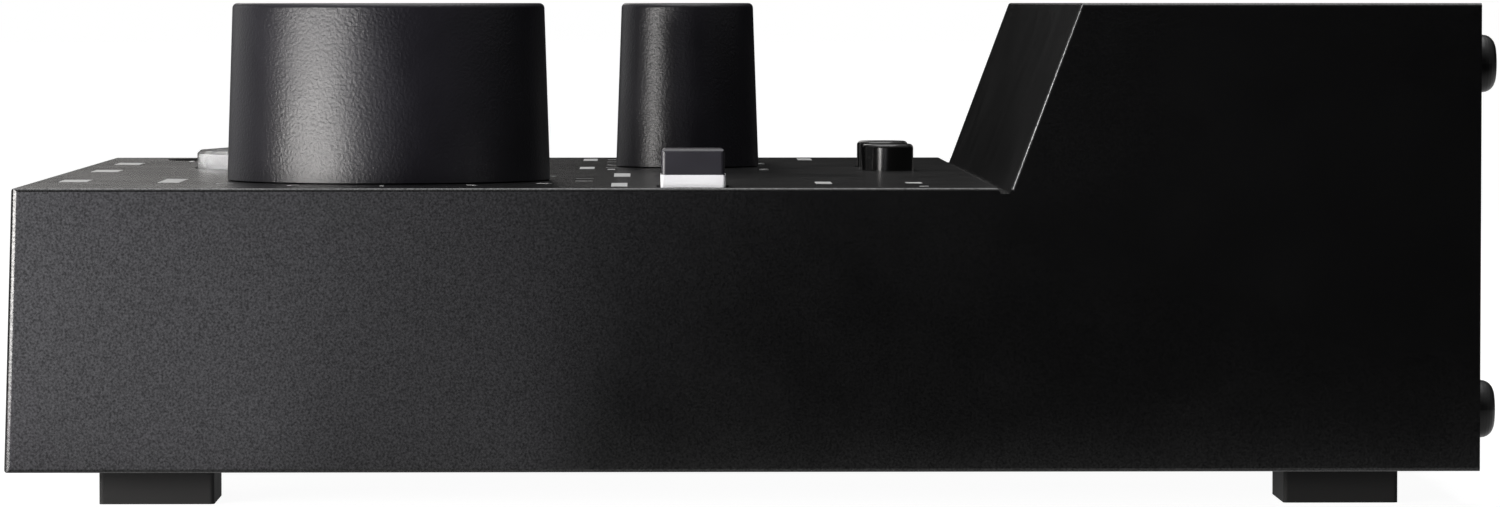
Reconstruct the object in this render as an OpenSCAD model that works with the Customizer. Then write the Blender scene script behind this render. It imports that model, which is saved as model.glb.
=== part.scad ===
// Desktop audio mixer with a low control deck and a raised socket block behind it.
// Millimetres. X to the right, Y to the rear, Z up, origin under the middle of the unit on the table.

/* [Case] */
// Width of the case over its two side walls
case_w = 135; // [132:0.5:150]
// Depth of the case from its front bottom edge to its rear edge
case_d = 162.5; // [160:0.5:180]
// Height of the raised rear part over the bottom of the case
case_h = 51.6; // [50:0.2:60]
// Height of the control deck over the bottom of the case
deck_h = 31.3; // [31:0.1:36]
// Thickness of the folded sheet
sheet = 1.5; // [1.2:0.1:1.8]
// How far the front face leans back over the height of the deck
front_lean = 0.95; // [0:0.05:2]
// Depth of the raised rear part at the level of the deck
raised_d = 51.7; // [51:0.1:54]
// Run of the slope to the rear between the deck and the top
slope_run = 7.6; // [4:0.2:10]
// Radius of the upright front corners
corner_r = 0.7; // [0.5:0.1:2]
// Radius of the long outer edges
edge_r = 0.4; // [0.3:0.05:0.9]
// Width of the relief groove along the foot of the slope
groove_w = 1.3; // [0.9:0.1:2]
// Depth of the relief groove
groove_depth = 0.65; // [0.3:0.05:0.8]
// Width of the cover's lip round the front panel
front_lip = 4; // [3:0.5:5]
// Width of the inward flanges that take the screws
flange_w = 9.5; // [8.5:0.5:10.5]
// Gap between the case and the plates that close it
panel_gap = 0.15; // [0.1:0.05:0.3]

/* [Feet] */
// Side of a square rubber foot
foot_w = 12.8; // [10:0.2:16]
// Height of a foot
foot_h = 4.2; // [3:0.1:8]
// Distance from the front bottom edge to the front feet
foot_front = 9.65; // [5:0.05:20]
// Distance from the rear edge to the rear feet
foot_rear = 7.9; // [5:0.1:20]
// Distance from a side wall to the feet
foot_side = 9.5; // [9.5:0.1:20]

/* [Screws] */
// Radius of a rear screw's head
rear_head_r = 3.2; // [2.6:0.1:3.6]
// Height of a rear screw's head
rear_head_h = 2.3; // [1.6:0.1:3]
// Distance from a side wall to the rear screws
rear_screw_side = 6.6; // [6.2:0.1:8]
// Height of the low rear screws over the bottom of the case
rear_screw_low = 6.5; // [6.2:0.1:9]
// Distance from the top to the high rear screws
rear_screw_high = 6.7; // [6:0.1:9]
// Radius of every screw's thread
screw_r = 1.5; // [1.2:0.1:1.6]
// Length of every screw under its head
screw_len = 6; // [5:0.5:7]
// Radius of the small screws' heads
small_head_r = 2.7; // [2.4:0.1:2.8]
// Height of the small screws' heads
small_head_h = 1.6; // [1.2:0.1:2]
// Gap round a screw in the hole that it passes
screw_gap = 0.15; // [0.1:0.05:0.3]

/* [Boards] */
// Thickness of the circuit boards
board_t = 1.6; // [1:0.1:2]
// Distance from the deck's underside to the main board
board_drop = 10; // [9.5:0.1:10.5]
// Margin from the main board's edges to the side walls
board_margin = 1; // [0.5:0.1:1.4]
// Distance from the front bottom edge to the main board
board_front = 4.4; // [4:0.1:6]
// Distance from the slope's foot to the main board's rear edge
board_rear = 2.4; // [1:0.1:4]
// Height of the rear board's spacers
rear_spacer_h = 6.3; // [5:0.1:7]
// Distance from the rear panel to the front edge of the rear board
rear_board_d = 44.5; // [44:0.5:46]
// Radius of the spacers
spacer_r = 3; // [2.6:0.1:3.4]

/* [Knobs] */
// Gap between a knob or cap and the deck
knob_gap = 0.15; // [0.15:0.05:0.5]
// Radius of the volume knob at its foot
volume_r = 18.5; // [15:0.1:20]
// Radius of the volume knob at its top
volume_top_r = 17.85; // [14:0.05:19.5]
// Distance from the right side to the volume knob's axis
volume_side = 31.7; // [30:0.1:34]
// Place of the volume knob along the deck, as a share of the deck's length from the front
volume_row = 0.371; // [0.34:0.001:0.4]
// Radius of a gain knob at its foot
gain_r = 8.85; // [8.4:0.05:10]
// Radius of a gain knob at its top
gain_top_r = 8.15; // [7.9:0.05:9.5]
// Distance from the left side to the right gain knob's axis
gain_right_side = 44.5; // [43:0.1:47]
// Distance from the left side to the left gain knob's axis
gain_left_side = 17.5; // [15:0.1:19]
// Place of the gain knobs and the square button along the deck, as a share of its length
gain_row = 0.684; // [0.65:0.001:0.71]
// Wall of the hollow knobs
knob_wall = 1.6; // [1.2:0.1:1.8]
// Fillet round the knobs' top edge
knob_fillet = 0.6; // [0.3:0.1:1]
// Radius of the potentiometer shafts
shaft_r = 3; // [2.5:0.1:3.1]
// Depth of the flat on the shafts
shaft_flat = 0.6; // [0.3:0.1:1]
// Running gap round a shaft in its bush
shaft_gap = 0.05; // [0.02:0.01:0.1]
// Radius of the volume potentiometer's bush
volume_bush_r = 4.5; // [4.2:0.1:5]
// Radius of a gain potentiometer's bush
gain_bush_r = 3.8; // [3.6:0.1:4]
// Height of the nuts that hold the potentiometers and line jacks
nut_h = 2; // [1.6:0.1:2.2]
// Width of the pointer line on a knob
pointer_w = 1.2; // [0.8:0.1:2]
// Depth of the pointer line
pointer_t = 0.5; // [0.3:0.1:0.8]

/* [Fader] */
// Travel of the fader from end to end
fader_travel = 30; // [20:1:34]
// Distance from the left side to the fader's slot
fader_side = 12; // [11:0.1:13]
// Distance from the front bottom edge to the slot's front end
fader_front = 9.7; // [9.2:0.1:14]
// Width of the slot in the deck
fader_slot_w = 2.2; // [2:0.1:3]
// Width of the slider's blade along the slot
blade_w = 4; // [3:0.1:5]
// Thickness of the slider's blade
blade_t = 1.2; // [0.8:0.1:1.4]
// Length of the fader's cap along the slot
fader_cap_len = 11; // [9:0.5:14]
// Width of the fader's cap across the slot
fader_cap_w = 9; // [7:0.5:12]
// Height of the fader's cap
fader_cap_h = 9.5; // [8:0.5:12]
// Width of the slide potentiometer
slide_w = 9; // [8:0.5:10]
// Height of the slide potentiometer
slide_h = 8; // [7.5:0.1:8.5]

/* [Buttons] */
// Gap between a button and the hole in the deck
button_gap = 0.4; // [0.3:0.05:0.6]
// Radius of the round talk button
talk_r = 16.5; // [14:0.5:17]
// Distance from the left side to the talk button's axis
talk_side = 49; // [48:0.1:50]
// Place of the talk button along the deck, as a share of its length
talk_row = 0.287; // [0.26:0.001:0.32]
// Height of the talk button's edge over the deck
talk_rise = 2.2; // [1.8:0.1:3]
// Height of the talk button's crown over its edge
talk_crown = 0.7; // [0.3:0.1:1.5]
// Side wall of the talk button's clear lens
lens_wall = 0.9; // [0.7:0.1:1.2]
// Thickness of the lens over the white diffuser
lens_roof = 0.45; // [0.3:0.05:0.8]
// Length of the square button along the deck
mute_len = 7.2; // [6:0.1:8]
// Width of the square button across the deck
mute_w = 7; // [6:0.1:7.4]
// Distance from the right side to the square button's middle
mute_side = 6.5; // [6.4:0.1:8]
// Height of the white skirt over the deck
skirt_h = 1.35; // [1.2:0.05:2.5]
// Height of the dark cap on the skirt
mute_cap_h = 2.85; // [2:0.05:4]
// How much narrower the cap is than its skirt, on each side
cap_step = 0.1; // [0.05:0.05:0.3]
// Radius of a small round button
round_r = 3.15; // [2.5:0.05:3.5]
// Height of a small round button over the deck
round_h = 3.2; // [2.5:0.1:4]
// Fillet round the top of a small round button
round_fillet = 0.5; // [0.4:0.1:1.2]
// Distance from the left side to the right one of the round buttons
round_right_side = 61.6; // [61:0.1:64]
// Distance from the left side to the left one of the round buttons
round_left_side = 45.5; // [43:0.1:50]
// Place of the round buttons along the deck, as a share of its length
round_row = 0.9025; // [0.88:0.0005:0.92]
// Radius of the buttons' stems
stem_r = 1.7; // [1.4:0.1:2]
// Running gap round a stem in its switch
stem_gap = 0.1; // [0.05:0.01:0.1]
// Height of the switches on the main board
switch_h = 4.5; // [4:0.1:5]
// Radius of the signal lamps' light pipes
lamp_r = 0.6; // [0.5:0.1:1.2]
// Distance from a gain knob's axis to its signal lamp, to the right
lamp_side = 17; // [15:0.1:18]
// Place of the signal lamps along the deck, as a share of its length
lamp_row = 0.767; // [0.75:0.001:0.79]

/* [Sockets] */
// Radius of the bore of a 6.35 mm jack
jack_bore_r = 3.25; // [3.2:0.01:3.4]
// Depth of a 6.35 mm jack from its mouth
jack_bore_len = 29; // [27:0.5:30]
// Radius of a phones jack's nose
phones_nose_r = 5; // [4.6:0.1:5.5]
// Distance from the right side to the right phones jack
phones_right_side = 28; // [24:0.5:32]
// Distance from the right side to the left phones jack
phones_left_side = 70.2; // [66:0.1:72]
// Radius of the bore of the 3.5 mm headset jack
headset_bore_r = 1.8; // [1.78:0.01:1.9]
// Depth of the headset jack from its mouth
headset_bore_len = 14.5; // [14:0.5:16]
// Radius of the headset jack's nose
headset_nose_r = 3.6; // [3.2:0.1:3.8]
// Distance from the left side to the headset jack
headset_side = 32; // [31:0.1:35]
// Distance from the main board to the axis of the front jacks
front_jack_drop = 6; // [5.6:0.1:6.5]
// Radius of a combo socket's nose
combo_r = 11.9; // [11.5:0.1:12.2]
// Radius of a combo socket's plug well
combo_well_r = 9.5; // [9.4:0.05:9.8]
// Depth of a combo socket's plug well
combo_well_len = 14; // [13:0.5:16]
// Radius of the contact insert in a combo socket
combo_insert_r = 8.2; // [8:0.1:8.4]
// Width of a combo socket's flange
combo_w = 26; // [25.5:0.1:26.5]
// Height of a combo socket's flange
combo_h = 31; // [30.5:0.1:31.5]
// Depth of the rear sockets behind the rear panel
socket_d = 33; // [32:0.5:34]
// Radius of a line jack's bush
line_bush_r = 5.9; // [5.5:0.1:6]
// Width of a line jack's body
line_w = 15; // [14:0.5:16]
// Distance from the rear board to a line jack's axis
line_axis = 6.4; // [6.2:0.1:7]
// Width of the USB socket's mouth
usb_w = 8.4; // [8.3:0.05:8.6]
// Height of the USB socket's mouth
usb_h = 2.6; // [2.5:0.05:2.8]
// Wall of the USB socket's shell
usb_wall = 0.35; // [0.25:0.05:0.5]
// Length of the USB socket
usb_len = 8.5; // [7.5:0.1:10]

/* [Power rocker] */
// Height of the power rocker's middle over the bottom of the case
rocker_up = 31.5; // [30:0.1:34]
// Width of the rocker
rocker_w = 9; // [8:0.1:9.5]
// Radius of the rocker's round ends about its pivot
rocker_r = 7.8; // [7:0.1:8]
// Tilt of the rocker to each side
rocker_tilt = 8; // [5:0.5:10]
// Thickness of the rocker's bezel on the rear panel
bezel_t = 1.4; // [1:0.1:1.6]

/* [Hidden] */
$fn = 64;

// Overlap of cutting bodies past the faces that they cut
past = 1;
// Fit between pieces that are pressed, screwed or glued together
snug = 0.02;
// Clearance between a moving piece and its neighbours
free = 0.3;

// Levels of the case
z_bottom = foot_h;
z_floor = z_bottom + sheet;
z_deck = z_bottom + deck_h;
z_top = z_bottom + case_h;
z_under_deck = z_deck - sheet;
z_under_top = z_top - sheet;
z_board = z_under_deck - board_drop;
z_under_board = z_board - board_t;
z_rear_board = z_floor + rear_spacer_h + board_t;

// Places along the depth
y_front = -(case_d + rear_head_h) / 2;
y_rear = y_front + case_d;
y_panel = y_rear - sheet;
y_slope = y_rear - raised_d;
deck_len = y_slope - y_front;

// Places across the width
x_right = case_w / 2;
x_left = -x_right;
x_wall = x_right - sheet;
x_flange = x_wall - flange_w;

front_angle = atan(front_lean / deck_h);
slope_angle = atan(slope_run / (case_h - deck_h));

// Outer and inner front face at a height
function front_at(z) = y_front + (z - z_bottom) * tan(front_angle);
function front_wall_at(z) = front_at(z) + sheet / cos(front_angle);
// Outer and inner face of the front panel, which stands behind the cover's lip
function panel_at(z) = front_wall_at(z) + snug;
function panel_back_at(z) = panel_at(z) + sheet / cos(front_angle);
// Inner face of the slope at a height
function slope_wall_at(z) = y_slope + sheet / cos(slope_angle) + (z - z_deck) * tan(slope_angle);

// Points of the arc that rounds corner b of an outline, between its neighbours a and c
function fillet(a, b, c, r, steps = 6) =
    let (
        u = (a - b) / norm(a - b),
        v = (c - b) / norm(c - b),
        half = acos(u * v) / 2,
        centre = b + (u + v) / norm(u + v) * r / sin(half),
        from = b + u * r / tan(half) - centre,
        to = b + v * r / tan(half) - centre,
        start = atan2(from.y, from.x),
        turn = atan2(to.y, to.x) - start,
        sweep = turn > 180 ? turn - 360 : turn < -180 ? turn + 360 : turn
    )
    [for (i = [0:steps]) centre + r * [cos(start + sweep * i / steps), sin(start + sweep * i / steps)]];

// Outline drawn in Y and Z, extruded across X
module along_x(x0, x1) {
    translate([x0, 0, 0]) rotate([90, 0, 90]) linear_extrude(x1 - x0) children();
}

// Outline drawn in X and Z, extruded along Y
module along_y(y0, y1) {
    translate([0, y1, 0]) rotate([90, 0, 0]) linear_extrude(y1 - y0) children();
}

// Box between two corners
module block(low, high) {
    translate(low) cube(high - low);
}

// Rectangle with round corners between two corners
module round_rect(low, high, r) {
    translate([low.x + r, low.y]) square([high.x - low.x - 2 * r, high.y - low.y]);
    translate([low.x, low.y + r]) square([high.x - low.x, high.y - low.y - 2 * r]);
    for (x = [low.x + r, high.x - r], y = [low.y + r, high.y - r]) {
        translate([x, y]) circle(r);
    }
}

// Cylinder along Y between two places
module rod_y(x, z, y0, y1, r) {
    translate([x, y1, z]) rotate([90, 0, 0]) cylinder(h = y1 - y0, r = r);
}

// Hexagon nut on the face at z = 0, with its thread bore
module hex_nut(bore_r) {
    nut_rim = 1.3;
    difference() {
        rotate([0, 0, 30]) cylinder(h = nut_h, r = (bore_r + nut_rim) / cos(30), $fn = 6);
        translate([0, 0, -past]) cylinder(h = nut_h + 2 * past, r = bore_r + snug);
    }
}

// Pan head screw with a cross recess, its head standing on z = 0 and its thread below
module pan_screw(head_r, head_h) {
    dome_r = head_h * 0.6;
    recess_w = head_r * 0.28;
    recess_len = head_r * 1.1;
    recess_depth = head_h * 0.5;
    difference() {
        rotate_extrude() polygon(concat(
            [[0, 0], [head_r, 0]],
            fillet([head_r, 0], [head_r, head_h], [0, head_h], dome_r),
            [[0, head_h]]
        ));
        for (turn = [0, 90]) {
            rotate([0, 0, turn]) translate([-recess_len / 2, -recess_w / 2, head_h - recess_depth])
                cube([recess_len, recess_w, recess_depth + past]);
        }
    }
    translate([0, 0, -screw_len]) cylinder(h = screw_len, r = screw_r);
}

// CASE

// Places of the controls on the deck
volume_x = x_right - volume_side;
volume_y = y_front + volume_row * deck_len;
gain_left_x = x_left + gain_left_side;
gain_right_x = x_left + gain_right_side;
gain_y = y_front + gain_row * deck_len;
fader_x = x_left + fader_side;
slot_end_gap = 0.8;
fader_slot_len = fader_travel + blade_w + 2 * slot_end_gap;
fader_y = y_front + fader_front + fader_slot_len / 2;
talk_x = x_left + talk_side;
talk_y = y_front + talk_row * deck_len;
mute_x = x_right - mute_side;
mute_y = gain_y;
round_left_x = x_left + round_left_side;
round_right_x = x_left + round_right_side;
round_y = y_front + round_row * deck_len;
lamp_xs = [gain_left_x + lamp_side, gain_right_x + lamp_side];
lamp_y = y_front + lamp_row * deck_len;

// Places of the sockets
phones_left_x = x_right - phones_left_side;
phones_right_x = x_right - phones_right_side;
headset_x = x_left + headset_side;
z_front_jack = z_under_board - front_jack_drop;
z_combo = z_rear_board + combo_h / 2 + panel_gap;
z_line = z_rear_board + line_axis;
z_usb = z_rear_board + usb_h / 2 + usb_wall;
rocker_z = z_bottom + rocker_up;

// Rear sockets side by side between the flanges with even gaps, the USB socket under the power rocker
bezel_wall = 1;
bezel_lip = 1.4;
rocker_house_w = rocker_w + 2 * free + 2 * bezel_wall;
bezel_w = rocker_house_w + 2 * bezel_lip;
socket_gap = (2 * x_flange - 2 * combo_w - 2 * line_w - bezel_w) / 6;
combo_left_x = socket_gap + combo_w / 2 - x_flange;
combo_right_x = combo_left_x + combo_w + socket_gap;
line_left_x = combo_right_x + combo_w / 2 + socket_gap + line_w / 2;
line_right_x = line_left_x + line_w + socket_gap;
usb_x = line_right_x + line_w / 2 + socket_gap + bezel_w / 2;

// Front jacks: width of their bodies, depth below the axis and wall behind the bore
phones_w = 14;
phones_below = 6;
headset_w = 8.5;
headset_below = 4;
jack_back = 2;

// Headers of the ribbon cable
header_w = 24;
header_d = 6;
header_h = 6;
header_x = 20;

// Places of the screws
base_screw_x = x_wall - flange_w / 2;
foot_to_screw = 6;
base_screw_ys = [
    y_front + foot_front + foot_w + foot_to_screw,
    (y_front + y_rear) / 2,
    y_rear - foot_rear - foot_w - foot_to_screw
];
rear_screw_x = x_right - rear_screw_side;
rear_screw_zs = [z_bottom + rear_screw_low, z_top - rear_screw_high];
spacer_edge = 9.5;
spacer_free = 2;
spacer_room = spacer_r + spacer_free;
spacer_places = [
    [fader_x + slide_w / 2 + spacer_room, y_front + spacer_edge],
    [phones_left_x + phones_w / 2 + spacer_room, y_front + spacer_edge],
    [x_right - spacer_edge, y_front + spacer_edge],
    [x_left + spacer_edge, y_slope - spacer_edge],
    [header_x + header_w / 2 + spacer_room, y_slope - spacer_edge],
    [x_right - spacer_edge, y_slope - spacer_edge]
];
y_rear_board = y_panel - rear_board_d;
rear_spacer_x = x_flange - spacer_edge;
rear_spacer_xs = [-rear_spacer_x, header_x - header_w / 2 - spacer_room, rear_spacer_x];
rear_spacer_places = [for (x = rear_spacer_xs) [x, y_rear_board + spacer_room]];

// Low front part of the outer form: leaning front, deck and rounded edges
module low_part() {
    inside = 6;
    foot_corner = [y_front, z_bottom];
    front_corner = [y_front + front_lean, z_deck];
    back_corner = [y_slope + inside, z_deck];
    low_corner = [y_slope + inside, z_bottom];
    intersection() {
        along_x(x_left, x_right) polygon(concat(
            fillet(low_corner, foot_corner, front_corner, edge_r),
            fillet(foot_corner, front_corner, back_corner, edge_r),
            [back_corner, low_corner]
        ));
        along_y(y_front, y_slope + inside) round_rect([x_left, z_bottom], [x_right, z_deck], edge_r);
        translate([0, y_front, z_bottom]) rotate([-front_angle, 0, 0]) translate([0, 0, -deck_h])
            linear_extrude(3 * deck_h) round_rect([x_left, 0], [x_right, 2 * case_d], corner_r);
    }
}

// Raised rear part of the outer form with its slope
module raised_part() {
    slope_foot = [y_slope, z_deck];
    slope_head = [y_slope + slope_run, z_top];
    rear_head = [y_rear, z_top];
    intersection() {
        along_x(x_left, x_right) polygon(concat(
            [[y_slope, z_bottom], slope_foot],
            fillet(slope_foot, slope_head, rear_head, edge_r),
            [rear_head, [y_rear, z_bottom]]
        ));
        along_y(y_slope - past, y_rear) round_rect([x_left, z_bottom], [x_right, z_top], edge_r);
        translate([0, y_slope, z_deck]) rotate([-slope_angle, 0, 0]) translate([0, 0, -case_d])
            linear_extrude(2 * case_d) round_rect([x_left, 0], [x_right, 2 * case_d], edge_r);
    }
}

// Relief groove across the deck with a rounded deck end, where the slope runs on below the deck
module relief_groove() {
    deck_end = [y_slope - groove_w, z_deck];
    groove_foot = [y_slope - groove_w, z_deck - groove_depth];
    slope_end = [y_slope - groove_depth * tan(slope_angle), z_deck - groove_depth];
    reach = groove_depth * 0.8;
    along_x(x_left - past, x_right + past) polygon(concat(
        [[deck_end.x - reach, z_deck + past]],
        fillet([deck_end.x - case_d, z_deck], deck_end, groove_foot, reach),
        [groove_foot, slope_end],
        [[y_slope + past * tan(slope_angle), z_deck + past]]
    ));
}

// Inside of the cover, open below and behind
module cover_cavity() {
    z_open = z_bottom - past;
    along_x(-x_wall, x_wall) polygon([
        [front_wall_at(z_open), z_open],
        [front_wall_at(z_under_deck), z_under_deck],
        [slope_wall_at(z_under_deck), z_under_deck],
        [slope_wall_at(z_under_top), z_under_top],
        [y_rear + past, z_under_top],
        [y_rear + past, z_open]
    ]);
}

// Flange that runs along the foot of each side wall and up the rear opening
module cover_flanges() {
    in_wall = x_wall + sheet / 2;
    for (side = [0, 1]) {
        mirror([side, 0, 0]) {
            block([x_flange, y_front + foot_front, z_floor], [in_wall, y_panel, z_floor + sheet]);
            block([x_flange, y_panel - sheet, z_floor], [in_wall, y_panel, z_under_top + sheet / 2]);
        }
    }
}

// Holes through the deck for bushes, buttons, lamps and the fader
module deck_holes() {
    translate([0, 0, z_under_deck - past]) linear_extrude(sheet + 2 * past) {
        translate([volume_x, volume_y]) circle(volume_bush_r + screw_gap);
        translate([gain_left_x, gain_y]) circle(gain_bush_r + screw_gap);
        translate([gain_right_x, gain_y]) circle(gain_bush_r + screw_gap);
        translate([talk_x, talk_y]) circle(talk_r + button_gap);
        translate([round_left_x, round_y]) circle(round_r + button_gap);
        translate([round_right_x, round_y]) circle(round_r + button_gap);
        for (x = lamp_xs) {
            translate([x, lamp_y]) circle(lamp_r + panel_gap);
        }
        translate([fader_x - fader_slot_w / 2, fader_y - fader_slot_len / 2])
            square([fader_slot_w, fader_slot_len]);
        translate([mute_x - mute_w / 2 - button_gap, mute_y - mute_len / 2 - button_gap])
            square([mute_w + 2 * button_gap, mute_len + 2 * button_gap]);
    }
}

// Opening in the cover's front that shows the front panel, open below
module front_opening() {
    edge = x_wall - front_lip;
    block(
        [-edge, y_front - past, z_bottom - past],
        [edge, front_wall_at(z_under_deck) + past, z_under_deck - front_lip]
    );
}

// Thread holes in the flanges
module flange_holes() {
    for (x = [-base_screw_x, base_screw_x], y = base_screw_ys) {
        translate([x, y, z_floor - past]) cylinder(h = sheet + 2 * past, r = screw_r + snug);
    }
    for (x = [-rear_screw_x, rear_screw_x], z = rear_screw_zs) {
        rod_y(x, z, y_panel - sheet - past, y_panel + past, screw_r + snug);
    }
}

module top_cover() {
    color("#1b1b1d") difference() {
        union() {
            difference() {
                union() {
                    low_part();
                    raised_part();
                }
                cover_cavity();
                relief_groove();
            }
            cover_flanges();
        }
        deck_holes();
        front_opening();
        flange_holes();
    }
}

// Countersunk screw pointing up, its flat head flush with z = 0
module flat_screw(gap) {
    head_drop = small_head_r - screw_r;
    cylinder(h = head_drop, r1 = small_head_r + gap, r2 = screw_r + gap);
    cylinder(h = screw_len, r = screw_r + gap);
}

module base_plate() {
    edge = x_wall - panel_gap;
    color("#202023") difference() {
        block([-edge, front_wall_at(z_floor) + panel_gap, z_bottom], [edge, y_panel - panel_gap, z_floor]);
        for (x = [-base_screw_x, base_screw_x], y = base_screw_ys) {
            translate([x, y, z_bottom]) flat_screw(snug);
            translate([x, y, z_bottom - past]) cylinder(h = past, r = small_head_r + snug);
        }
    }
}

module base_screws() {
    color("#3a3a3d") for (x = [-base_screw_x, base_screw_x], y = base_screw_ys) {
        translate([x, y, z_bottom]) difference() {
            flat_screw(0);
            for (turn = [0, 90]) {
                rotate([0, 0, turn]) translate([-small_head_r / 2, -small_head_r / 8, -past])
                    cube([small_head_r, small_head_r / 4, past + small_head_r / 4]);
            }
        }
    }
}

// Jack panel that stands on the base plate and leans against the cover's lip
module front_panel() {
    edge = x_wall - panel_gap;
    head = z_under_deck - panel_gap;
    y_past = panel_back_at(head) + past;
    color("#1b1b1d") difference() {
        along_x(-edge, edge) polygon([
            [panel_at(z_floor), z_floor],
            [panel_back_at(z_floor), z_floor],
            [panel_back_at(head), head],
            [panel_at(head), head]
        ]);
        for (x = [phones_left_x, phones_right_x]) {
            rod_y(x, z_front_jack, y_front, y_past, phones_nose_r + panel_gap);
        }
        rod_y(headset_x, z_front_jack, y_front, y_past, headset_nose_r + panel_gap);
    }
}

module rear_panel() {
    edge = x_wall - panel_gap;
    bezel_hole = rocker_r + free + 2 * panel_gap + bezel_wall;
    color("#1b1b1d") difference() {
        block([-edge, y_panel, z_bottom], [edge, y_rear, z_under_top - panel_gap]);
        for (x = [-rear_screw_x, rear_screw_x], z = rear_screw_zs) {
            rod_y(x, z, y_panel - past, y_rear + past, screw_r + screw_gap);
        }
        for (x = [combo_left_x, combo_right_x]) {
            rod_y(x, z_combo, y_panel - past, y_rear + past, combo_r + panel_gap);
            for (side = [-1, 1]) {
                rod_y(x + side * combo_screw_x, z_combo + side * combo_screw_z,
                    y_panel - past, y_rear + past, screw_r + screw_gap);
            }
        }
        for (x = [line_left_x, line_right_x]) {
            rod_y(x, z_line, y_panel - past, y_rear + past, line_bush_r + panel_gap);
        }
        along_y(y_panel - past, y_rear + past) usb_outline(usb_wall + panel_gap);
        block(
            [usb_x - rocker_house_w / 2 - panel_gap, y_panel - past, rocker_z - bezel_hole],
            [usb_x + rocker_house_w / 2 + panel_gap, y_rear + past, rocker_z + bezel_hole]
        );
    }
}

module rear_screws() {
    color("#2c2c2e") for (x = [-rear_screw_x, rear_screw_x], z = rear_screw_zs) {
        translate([x, y_rear, z]) rotate([-90, 0, 0]) pan_screw(rear_head_r, rear_head_h);
    }
}

module rubber_feet() {
    foot_r = 0.5;
    foot_x = x_right - foot_side;
    color("#161617") for (side = [0, 1], y = [y_front + foot_front, y_rear - foot_rear - foot_w]) {
        mirror([side, 0, 0]) linear_extrude(foot_h)
            round_rect([foot_x - foot_w, y], [foot_x, y + foot_w], foot_r);
    }
}

// BOARDS

module main_board() {
    edge = x_wall - board_margin;
    color("#1d4a32") difference() {
        block([-edge, y_front + board_front, z_under_board], [edge, y_slope - board_rear, z_board]);
        for (place = spacer_places) {
            translate([place.x, place.y, z_under_board - past])
                cylinder(h = board_t + 2 * past, r = screw_r + screw_gap);
        }
    }
}

// Processor and converters on the underside of the main board: middle and side of each
module board_chips() {
    chip_t = 1.6;
    chip_gap = 3;
    processor_w = 14;
    codec_w = 10;
    converter_w = 8;
    y_processor = y_main_header - header_d - chip_gap - processor_w / 2;
    y_codec = y_processor - processor_w / 2 - chip_gap - codec_w / 2;
    chips = [
        [header_x, y_processor, processor_w],
        [header_x, y_codec, codec_w],
        [gain_left_x, gain_y, converter_w],
        [gain_right_x, gain_y, converter_w],
        [volume_x, gain_y, converter_w]
    ];
    color("#151517") for (chip = chips) {
        translate([chip.x - chip.z / 2, chip.y - chip.z / 2, z_under_board - chip_t])
            cube([chip.z, chip.z, chip_t]);
    }
}

// Threaded spacer between two levels
module spacer(z0, z1) {
    translate([0, 0, z0]) difference() {
        cylinder(h = z1 - z0, r = spacer_r);
        translate([0, 0, -past]) cylinder(h = z1 - z0 + 2 * past, r = screw_r + snug);
    }
}

module board_spacers() {
    color("#b9bbc0") for (place = spacer_places) {
        translate(place) spacer(z_board, z_under_deck);
    }
}

module board_screws() {
    color("#8d8f94") for (place = spacer_places) {
        translate([place.x, place.y, z_under_board]) rotate([180, 0, 0])
            pan_screw(small_head_r, small_head_h);
    }
}

module rear_board() {
    edge = x_flange - board_margin;
    color("#1d4a32") difference() {
        block([-edge, y_rear_board, z_rear_board - board_t], [edge, y_panel - panel_gap, z_rear_board]);
        for (place = rear_spacer_places) {
            translate([place.x, place.y, z_rear_board - board_t - past])
                cylinder(h = board_t + 2 * past, r = screw_r + screw_gap);
        }
    }
}

module rear_spacers() {
    color("#b9bbc0") for (place = rear_spacer_places) {
        translate(place) spacer(z_floor, z_rear_board - board_t);
    }
}

module rear_board_screws() {
    color("#8d8f94") for (place = rear_spacer_places) {
        translate([place.x, place.y, z_rear_board]) pan_screw(small_head_r, small_head_h);
    }
}

// Headers that the ribbon cable runs between, under the main board and on the rear board
header_inset = 1.5;
y_main_header = y_slope - board_rear - header_inset;
y_rear_header = y_rear_board + header_inset;

module ribbon_headers() {
    color("#e4e0d2") {
        translate([header_x - header_w / 2, y_main_header - header_d, z_under_board - header_h])
            cube([header_w, header_d, header_h]);
        translate([header_x - header_w / 2, y_rear_header, z_rear_board])
            cube([header_w, header_d, header_h]);
    }
}

module ribbon_cable() {
    ribbon_t = 0.9;
    ribbon_margin = 1;
    ribbon_w = header_w - 2 * ribbon_margin;
    sag = 1.4;
    steps = 12;
    from = [y_main_header, z_under_board - header_h / 2];
    to = [y_rear_header, z_rear_board + header_h / 2];
    path = [for (i = [0:steps]) from + (to - from) * i / steps - [0, sag * sin(180 * i / steps)]];
    color("#8c8e93") along_x(header_x - ribbon_w / 2, header_x + ribbon_w / 2) polygon(concat(
        [for (p = path) p + [0, ribbon_t / 2]],
        [for (i = [steps:-1:0]) path[i] - [0, ribbon_t / 2]]
    ));
}

// KNOBS AND POTENTIOMETERS

// The knobs end level with the raised part
z_knob = z_deck + knob_gap;
z_knob_top = z_top;
knob_h = z_knob_top - z_knob;
thread_past_nut = 0.6;
bush_top = z_deck + nut_h + thread_past_nut;
knob_roof = 2.6;
shaft_end_gap = 0.4;
shaft_top = z_knob_top - knob_roof - shaft_end_gap;
pot_floor = 2;
shaft_foot = z_board + pot_floor;

// Section of a knob's bore: the shaft's circle with its flat to the front, widened by the fit
module bore_section() {
    difference() {
        circle(shaft_r + snug);
        translate([-2 * shaft_r, shaft_flat - snug - 3 * shaft_r]) square([4 * shaft_r, 2 * shaft_r]);
    }
}

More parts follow.
